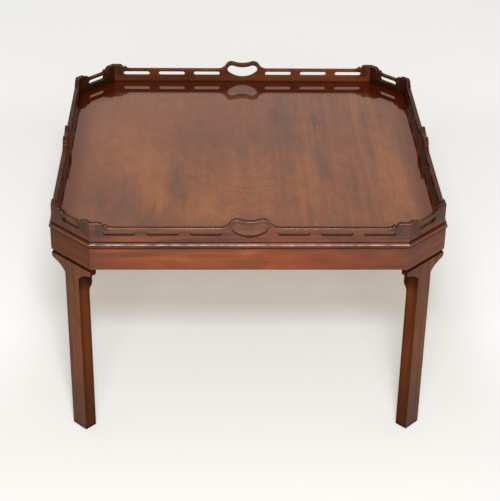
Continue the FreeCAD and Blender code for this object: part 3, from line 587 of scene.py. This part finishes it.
raw_across = sawn_wood("sawn_across", (0, 0, 0))
raw_along = sawn_wood("sawn_along", (0, 0, math.radians(-90)))
iron = dull_iron("dull_iron")
print("underside finishes:", raw_across.name, raw_along.name, iron.name)

# %% [markdown]
# ## Easing the edges
# A machine-sharp edge never shows on real furniture, and a rounded one catches a line of light. A
# bevel modifier would round all edges alike, so the edges are chosen here. The mesh of a node is loose
# triangles. So a copy is merged, its flat faces are joined, and its sharp outer edges are bevelled. An
# edge that another piece covers stays crisp: at a mitre a bevel would open a groove. The new narrow
# faces get the mark "arris", for the wear.

# %% Copy a node and soften its edges
SHARP_EDGE = math.radians(28)
SIDE_STEP = 45  # degrees from one side of the table to the next
MITRE_MISS = 4


def merged_copy(node):
    """The node's mesh as one skin with whole flat faces, and its two marks."""
    skin = bmesh.new()
    skin.from_mesh(nodes[node].data)
    bmesh.ops.remove_doubles(skin, verts=skin.verts, dist=1e-5)
    bmesh.ops.dissolve_limit(skin, angle_limit=math.radians(1), verts=skin.verts, edges=skin.edges)
    skin.normal_update()
    skin.faces.layers.float.new("arris")
    skin.faces.layers.float.new("shade_and_old_polish")
    return skin


def outwards(node):
    """The level direction from the middle of the table to a node."""
    low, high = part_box(node)
    return ((low + high) * Vector((0.5, 0.5, 0))).normalized()


def is_mitre(face):
    """A mitre faces halfway between two sides of the table."""
    turn = math.degrees(math.atan2(face.normal.y, face.normal.x)) % SIDE_STEP
    return abs(face.normal.z) < 0.5 and abs(turn - SIDE_STEP / 2) < MITRE_MISS


def ease(skin, radius, leave=is_mitre, segments=3):
    """Rounds the sharp outer edges of a skin, but leaves those of some faces."""
    left = {face for face in skin.faces if leave(face)}
    sharp = [edge for edge in skin.edges if edge.is_convex and edge.calc_face_angle(0) > SHARP_EDGE
             and not left.intersection(edge.link_faces)]
    made = bmesh.ops.bevel(skin, geom=sharp, offset=radius, segments=segments, profile=0.5,
                           affect="EDGES", material=-1, clamp_overlap=False)
    arris = skin.faces.layers.float["arris"]
    for face in made["faces"]:
        longest = max(edge.calc_length() for edge in face.edges)
        face[arris] = 1.0 if face.calc_area() < 2 * radius * longest else 0.0
    skin.normal_update()


print("edges over", round(math.degrees(SHARP_EDGE)), "degrees will be eased")

# %% [markdown]
# ## From a skin to a piece
# Flat faces have to look flat and roundings round. Smoothing everything would make the broad faces
# look swollen. So only curved faces are smooth, and a weighted normal modifier lets the broad faces
# rule the shading. Each piece then rides on the table's one body and stands for its node.

# %% Make a piece of a skin
GENTLE_BEND = math.radians(32)


def is_curved(face, arris):
    """Whether a face is part of a rounding, or bends gently into the next face."""
    whole = [edge for edge in face.edges if not any(other[arris] for other in edge.link_faces)]
    bends = [edge.calc_face_angle(0) for edge in whole]
    return face[arris] > 0 or any(math.radians(1) < bend < GENTLE_BEND for bend in bends)


def make_piece(skin, name, node, wood, raw=None, is_raw=None, shade_and_polish_of=None):
    """A piece of the table from a skin: named, finished, and standing for its node."""
    arris, shade_and_old_polish = (skin.faces.layers.float[mark] for mark in ("arris", "shade_and_old_polish"))
    rounded = [is_curved(face, arris) for face in skin.faces]
    for face in skin.faces:
        face.material_index = 1 if raw and is_raw(face) else 0
        face[shade_and_old_polish] = shade_and_polish_of(face) if shade_and_polish_of else 0.0
    mesh = bpy.data.meshes.new(name)
    skin.to_mesh(mesh)
    skin.free()
    mesh.set_sharp_from_angle(angle=GENTLE_BEND)
    mesh.polygons.foreach_set("use_smooth", rounded)
    mesh.materials.append(wood)
    if raw:
        mesh.materials.append(raw)
    piece = bpy.data.objects.new(name, mesh)
    bpy.context.scene.collection.objects.link(piece)
    even = piece.modifiers.new("even_faces", "WEIGHTED_NORMAL")
    even.keep_sharp = True
    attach(piece, "root")
    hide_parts(node)
    return piece


print("faces that bend less than", round(math.degrees(GENTLE_BEND)), "degrees will be smooth")

# %% [markdown]
# ## The tray panel
# The panel is framed on all sides by the gallery, so no edge of it shows and nothing is bevelled.
# Its face is polished and its underside is not, which takes two materials on one mesh.

# %% Make the tray panel
tray = make_piece(merged_copy("tray_panel"), "tray_board", "tray_panel", top_wood,
                  raw_along, lambda face: face.normal.z < -0.5)
print(tray.name, len(tray.data.polygons), "faces")

# %% [markdown]
# ## The gallery
# Each board was sawn with a fret saw. Its upper outline was then well rounded by hands and polish, and
# the slots kept crisper edges, so there are two bevels. The slots, the inner faces and the top get
# painted shade, and old polish stays there too, and the short boards get some painted shade as well.
# The share is marked on each face, and above 1 more painted shade darkens the face further.

# %% A board of the gallery
SIDES = ("front", "right", "back", "left")
OUTLINE_RADIUS = 0.0016
CRISP_RADIUS = 0.0004
SLOT_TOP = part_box("tray_panel")[1].z + 0.027  # the walls of the slots lie lower than this
# Shares of painted shade and old polish on the faces of a board.
SLOT_SHADE_AND_POLISH = 1.0
INNER_SHADE_AND_POLISH = 1.45
INNER_BACK_SHADE_AND_POLISH = 0.88
TOP_SHADE_AND_POLISH = 0.8
SHORT_BOARD_SHADE = 0.6


def gallery_board(place_name):
    """One pierced board of the gallery, with a rounded outline and crisp slots."""
    node = f"gallery_{place_name}"
    out = outwards(node)

    def is_pierced(face):
        """Whether a face is the wall of a slot or of the hand hole."""
        low = face.calc_center_median().z < SLOT_TOP
        return abs(face.normal.dot(out)) < 0.5 and (low or face.normal.z < -0.3) and not is_mitre(face)

    def shade_and_polish_of(face):
        """How much painted shade and old polish a face gets."""
        facing = face.normal.dot(out)
        if is_pierced(face):
            return SLOT_SHADE_AND_POLISH
        if facing < -0.2:
            return INNER_BACK_SHADE_AND_POLISH if place_name == "back" else INNER_SHADE_AND_POLISH
        if abs(face.normal.z) < 0.6 and abs(facing) < 0.5:
            return SLOT_SHADE_AND_POLISH
        if face.normal.z > 0.7 and facing < 0.3:
            return TOP_SHADE_AND_POLISH
        # The short boards at the corners get painted shade.
        return 0.0 if place_name in SIDES else SHORT_BOARD_SHADE

    board = merged_copy(node)
    ease(board, OUTLINE_RADIUS, lambda face: is_mitre(face) or is_pierced(face), segments=4)
    ease(board, CRISP_RADIUS, segments=2)
    wood = back_wood if place_name == "back" else gallery_wood[ALONG[place_name]]
    return make_piece(board, f"gallery_board_{place_name}", node, wood, shade_and_polish_of=shade_and_polish_of)


print("the walls of the slots lie below", round(SLOT_TOP, 4))

# %% [markdown]
# ## The bead
# A half-round bead runs round the edge, under a flat fillet and over a small step. On the long sides
# its upper side gets a pale painted highlight, and its lower side and the step get painted shade, so it
# reads as a bright line between two dark ones. On the short sides only the crown keeps its colour and
# gloss, and the rest gets painted shade. A texture would have to follow eight mitred lengths. Marks on
# the faces find the right strip by its slope.

# %% Make the gallery and the edge moulding
CORNERS = ("front_left", "front_right", "back_right", "back_left")
FILLET_HEIGHT = 0.0026  # heights of the profile, from its upper or lower edge
BEAD_MIDDLE = 0.006
LOWER_SIDE = 0.003
STEP_HEIGHT = 0.0015
CROWN_DEPTH = 0.0024
SLACK = 0.0001
HIGHLIT_SLOPE = 0.68  # how far a face looks up, from 0 to 1
# Shares of painted shade on a long bead: on its lower side, and elsewhere.
LOWER_SIDE_SHADE = 1.35
BEAD_SHADE = 0.9


def bead(place_name):
    """One length of the edge moulding, with a painted highlight on its bead between painted shade."""
    node = f"edge_moulding_{place_name}"
    low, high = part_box(node)
    crest = high.z - FILLET_HEIGHT

    def is_highlit(face):
        """Whether a face is on the upper side of a long bead."""
        level = face.calc_center_median().z
        on_upper_side = low.z + BEAD_MIDDLE < level < crest + SLACK
        return place_name in SIDES and on_upper_side and face.normal.z > HIGHLIT_SLOPE

    def long_bead_shade(face):
        """Painted shade on a long bead: none on its upper side and on the fillet."""
        level = face.calc_center_median().z
        if is_highlit(face) or (level > crest and abs(face.normal.z) < 0.3):
            return 0.0
        return LOWER_SIDE_SHADE if level < low.z + LOWER_SIDE else BEAD_SHADE

    def short_bead_shade(face):
        """Painted shade on a short bead: none on its crown."""
        on_crown = low.z + STEP_HEIGHT < face.calc_center_median().z < high.z - CROWN_DEPTH
        return 0.0 if on_crown and 0.25 < face.normal.z < 0.70 else 1.0

    moulding = merged_copy(node)
    ease(moulding, CRISP_RADIUS, segments=2)
    arris = moulding.faces.layers.float["arris"]
    # The upper side of a long bead is marked for the pale painted highlight.
    for face in moulding.faces:
        face[arris] = float(is_highlit(face))
    return make_piece(moulding, f"bead_{place_name}", node, bead_wood[ALONG[place_name]],
                      shade_and_polish_of=long_bead_shade if place_name in SIDES else short_bead_shade)


edging = []
for place_name in SIDES + CORNERS:
    edging.append(gallery_board(place_name))
    edging.append(bead(place_name))
print("gallery boards and beads:", len(edging))

# %% [markdown]
# ## The frieze
# The rails are polished outside and sawn inside. A face is an inside one if it looks towards the
# middle of the table. The short rails over the legs get painted shade, each its own share.

# %% Make the frieze rails
RAIL_RADIUS = 0.0007
# How much painted shade each short rail gets.
SHORT_RAIL_SHADE = {"front_left": 0.72, "front_right": 0.5, "back_right": 0.6, "back_left": 0.6}

for place_name in SIDES + CORNERS:
    node = f"frieze_rail_{place_name}" if place_name in SIDES else f"corner_rail_{place_name}"
    angle = ALONG[place_name]
    out = outwards(node)
    rail = merged_copy(node)
    ease(rail, RAIL_RADIUS, segments=2)
    raw = raw_along if angle == 90 else raw_across
    make_piece(rail, f"rail_{place_name}", node, frieze_wood[angle], raw,
               lambda face: face.normal.dot(out) < -0.6,
               lambda face: SHORT_RAIL_SHADE.get(place_name, 0.0))
print("rails:", len(SIDES + CORNERS))

# %% [markdown]
# ## Legs and brackets
# The brackets are glued to the legs and planed flush, so their joint must not open. The front edges
# of a leg are eased only below the brackets: a plane cuts the leg there first, so that the bevel has
# a place to end. A bracket keeps its edges against the leg and against the rail.

# %% Make the legs and the brackets
LEG_RADIUS = 0.0011
BRACKET_RADIUS = 0.0009
CUT_UNDER_BRACKET = 0.002
UNDER_RAIL = 0.0005

for corner in CORNERS:
    ears = [f"bracket_{corner}_to_{side}" for side in SIDES if f"bracket_{corner}_to_{side}" in nodes]
    tip, top = (box.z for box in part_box(ears[0]))
    out = outwards(f"leg_{corner}")
    cut = tip - CUT_UNDER_BRACKET
    leg = merged_copy(f"leg_{corner}")
    bmesh.ops.bisect_plane(leg, geom=leg.verts[:] + leg.edges[:] + leg.faces[:],
                           plane_co=(0, 0, cut), plane_no=(0, 0, 1))
    leg.normal_update()
    ease(leg, LEG_RADIUS, lambda face: face.calc_center_median().z > cut)
    # Faces of the leg that do not look outwards get painted shade.
    make_piece(leg, f"leg_{corner}_post", f"leg_{corner}", leg_wood,
               shade_and_polish_of=lambda face: face.normal.dot(out) < 0.6)
    leg_low, leg_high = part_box(f"leg_{corner}")
    for node in ears:
        low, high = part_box(node)
        to_leg = ((leg_low + leg_high - low - high) * Vector((1, 1, 0))).normalized()
        bracket = merged_copy(node)
        ease(bracket, BRACKET_RADIUS, lambda face: face.normal.dot(to_leg) > 0.95
             or face.calc_center_median().z > top - UNDER_RAIL)
        # Faces of the bracket that do not look outwards get painted shade.
        make_piece(bracket, f"{node}_ear", node, leg_wood,
                   shade_and_polish_of=lambda face: face.normal.dot(out) < 0.6)
print("legs:", len(CORNERS), "brackets:", 2 * len(CORNERS))

# %% [markdown]
# ## Blocks, tongues and screws
# The glued blocks get a rough chamfer, as from a chisel: a bevel of one segment. The screws have
# square heads with hardly rounded edges. The tongues are shut inside the mitres, so their own node
# stays and only takes the plain finish.

# %% Make the hidden pieces
CHAMFER = 0.0009
SCREW_RADIUS = 0.0005


def no_face(face):
    """No face is left out."""
    return False


for node in sorted(nodes):
    if node.startswith(("corner_block_", "top_block_")):
        angle = ALONG[node.split("block_")[1].rstrip("_12")]
        block = merged_copy(node)
        ease(block, CHAMFER, no_face, segments=1)
        make_piece(block, f"{node}_wood", node, raw_along if angle == 90 else raw_across)
screws = merged_copy("leg_screws")
ease(screws, SCREW_RADIUS, no_face, segments=2)
make_piece(screws, "square_headed_screws", "leg_screws", iron)
nodes["mitre_tongues"].data.materials.clear()
nodes["mitre_tongues"].data.materials.append(raw_across)
print("hidden pieces are in place")

# %% [markdown]
# ## The floor
# The table stands on a plain pale floor. A white floor under strong light would throw too much light
# up at the wood. So the floor is off-white, and glows a little only for rays that see or mirror it.
# The glow is painted light: weaker and warmer under the table, which keeps the shadow, and stronger at
# the sides and far behind the table.

# %% Make the floor
FLOOR_COLOURS = ((0.725, 0.725, 0.72, 1), (0.745, 0.745, 0.74, 1))
OPEN_GLOW = (1.0, 1.0, 1.0, 1)
SHADOW_GLOW = (0.95, 0.88, 0.68, 1)
SHADOW_MIDDLE = 0.03  # places on the floor, in metres
SHADOW_SIDE = (0.38, 0.58)
SIDE_DEPTH = (-0.45, 0.10)
FAR_DEPTH = (0.4, 1.4)
WARM_DEPTH = (0.0, 0.14)
FRONT_DEPTH = (0.0, 0.12)


def seen_or_mirrored(tree):
    """1 for what the camera, a mirror or a glass sees."""
    path = add(tree, "LightPath").outputs
    return larger(tree, path["Is Camera Ray"], path["Is Glossy Ray"], path["Is Transmission Ray"])


def pale_floor(name):
    """Matt off-white, a little lighter where it is seen."""
    material, tree, shader, place = new_finish(name)
    cloud = noise(tree, place, scale=0.7, detail=2.0)
    fill(tree, shader.inputs["Base Color"], layer(tree, between(tree, cloud, 0.3, 0.7), *FLOOR_COLOURS))
    shader.inputs["Roughness"].default_value = 0.9
    shader.inputs["Specular IOR Level"].default_value = 0.0
    where = parts(tree, place)
    sideways = size_of(tree, sums(tree, "SUBTRACT", where["X"], SHADOW_MIDDLE))
    depth = where["Y"]
    aside = times(tree, between(tree, sideways, *SHADOW_SIDE), between(tree, depth, *SIDE_DEPTH, end=0.18))
    around = larger(tree, aside, between(tree, depth, *FAR_DEPTH, end=0.24))
    covered = between(tree, around, 0.0, 0.04, start=1.0, end=0.0)
    under = times(tree, covered, between(tree, depth, *WARM_DEPTH))
    lift = plus(tree, around, between(tree, depth, *FRONT_DEPTH, start=0.262, end=0.24))
    fill(tree, shader.inputs["Emission Color"], layer(tree, under, OPEN_GLOW, SHADOW_GLOW))
    fill(tree, shader.inputs["Emission Strength"], times(tree, seen_or_mirrored(tree), lift))
    return material


sheet = bmesh.new()
bmesh.ops.create_grid(sheet, x_segments=2, y_segments=2, size=12)
floor_mesh = bpy.data.meshes.new("floor")
sheet.to_mesh(floor_mesh)
sheet.free()
floor_mesh.materials.append(pale_floor("pale_floor"))
floor = bpy.data.objects.new("floor", floor_mesh)
bpy.context.scene.collection.objects.link(floor)
print("floor", floor.dimensions[:2])

# %% [markdown]
# ## The light
# Polished wood shows whatever stands round it, so the light is soft and comes from all sides. A small
# soft box over the camera throws the shadow back under the table, and a wide weak one lights the
# front. The world is pale where it is seen or mirrored. Everywhere else it gives an even light, with
# some more from low behind the table, which lights the inner faces of the front boards.

# %% Light from the world
FILL_COLOUR = (1.0, 0.96, 0.88, 1)
EVEN_FILL = 0.30
ROOM_COLOUR = (0.86, 0.835, 0.79, 1)

world = bpy.data.worlds.new("white_room")
bpy.context.scene.world = world
world.use_nodes = True
sky = world.node_tree
sky.nodes.clear()
toward = parts(sky, add(sky, "TexCoord").outputs["Generated"])
behind = between(sky, toward["Y"], 0.0, 0.7)
low = between(sky, toward["Z"], 0.10, 0.45, start=1.0, end=0.0)
glow = plus(sky, times(sky, behind, low), EVEN_FILL)
even = add(sky, "Background", {"Color": FILL_COLOUR, "Strength": glow})
room = add(sky, "Background", {"Color": ROOM_COLOUR, "Strength": 1.0})
either = add(sky, "MixShader", {0: seen_or_mirrored(sky), 1: even.outputs[0], 2: room.outputs[0]})
add(sky, "OutputWorld", {"Surface": either.outputs[0]})
print("even light", EVEN_FILL)

# %% Lamps
TARGET = Vector((0, 0, 0.42))


def soft_light(name, place, size, watts, colour):
    """A rectangle of light that faces the table."""
    lamp = bpy.data.lights.new(name, "AREA")
    lamp.shape = "RECTANGLE"
    lamp.size, lamp.size_y = size
    lamp.energy = watts
    lamp.color = colour
    light = bpy.data.objects.new(name, lamp)
    light.location = place
    light.rotation_euler = (TARGET - light.location).to_track_quat("-Z", "Y").to_euler()
    bpy.context.scene.collection.objects.link(light)


soft_light("soft_box", (0.05, -2.87, 2.56), size=(0.46, 0.40), watts=65, colour=(0.975, 0.99, 1.0))
soft_light("front_wall", (-0.10, -4.08, 2.32), size=(2.0, 1.0), watts=98, colour=(1.0, 0.95, 0.87))
print("lamps:", len(bpy.data.lights))

# %% [markdown]
# ## The camera
# The camera stands in front of the table and looks down at it. Its place, its turns and its focal
# length were worked out from points of the table whose size is known, so the view isn't tuned by eye.

# %% Place the camera
YAW, PITCH, ROLL = (math.radians(angle) for angle in (-1.826, 30.268, 0.948))
FOCUS_PIXELS = 1451.2
IMAGE_HEIGHT = 501
view = bpy.data.cameras.new("camera")
view.sensor_fit = "VERTICAL"
view.sensor_height = 36
view.lens = view.sensor_height * FOCUS_PIXELS / IMAGE_HEIGHT
camera = bpy.data.objects.new("camera", view)
turned = Matrix.Rotation(YAW, 3, "Z")
tilted = Matrix.Rotation(math.pi / 2 - PITCH, 3, "X")
rolled = Matrix.Rotation(ROLL, 3, "Z")
camera.rotation_euler = (turned @ tilted @ rolled).to_euler()
camera.location = (-0.073886, -2.707195, 1.795932)
bpy.context.scene.collection.objects.link(camera)
bpy.context.scene.camera = camera
bpy.context.scene.view_settings.view_transform = "Standard"
print("lens", round(view.lens, 1), "mm")
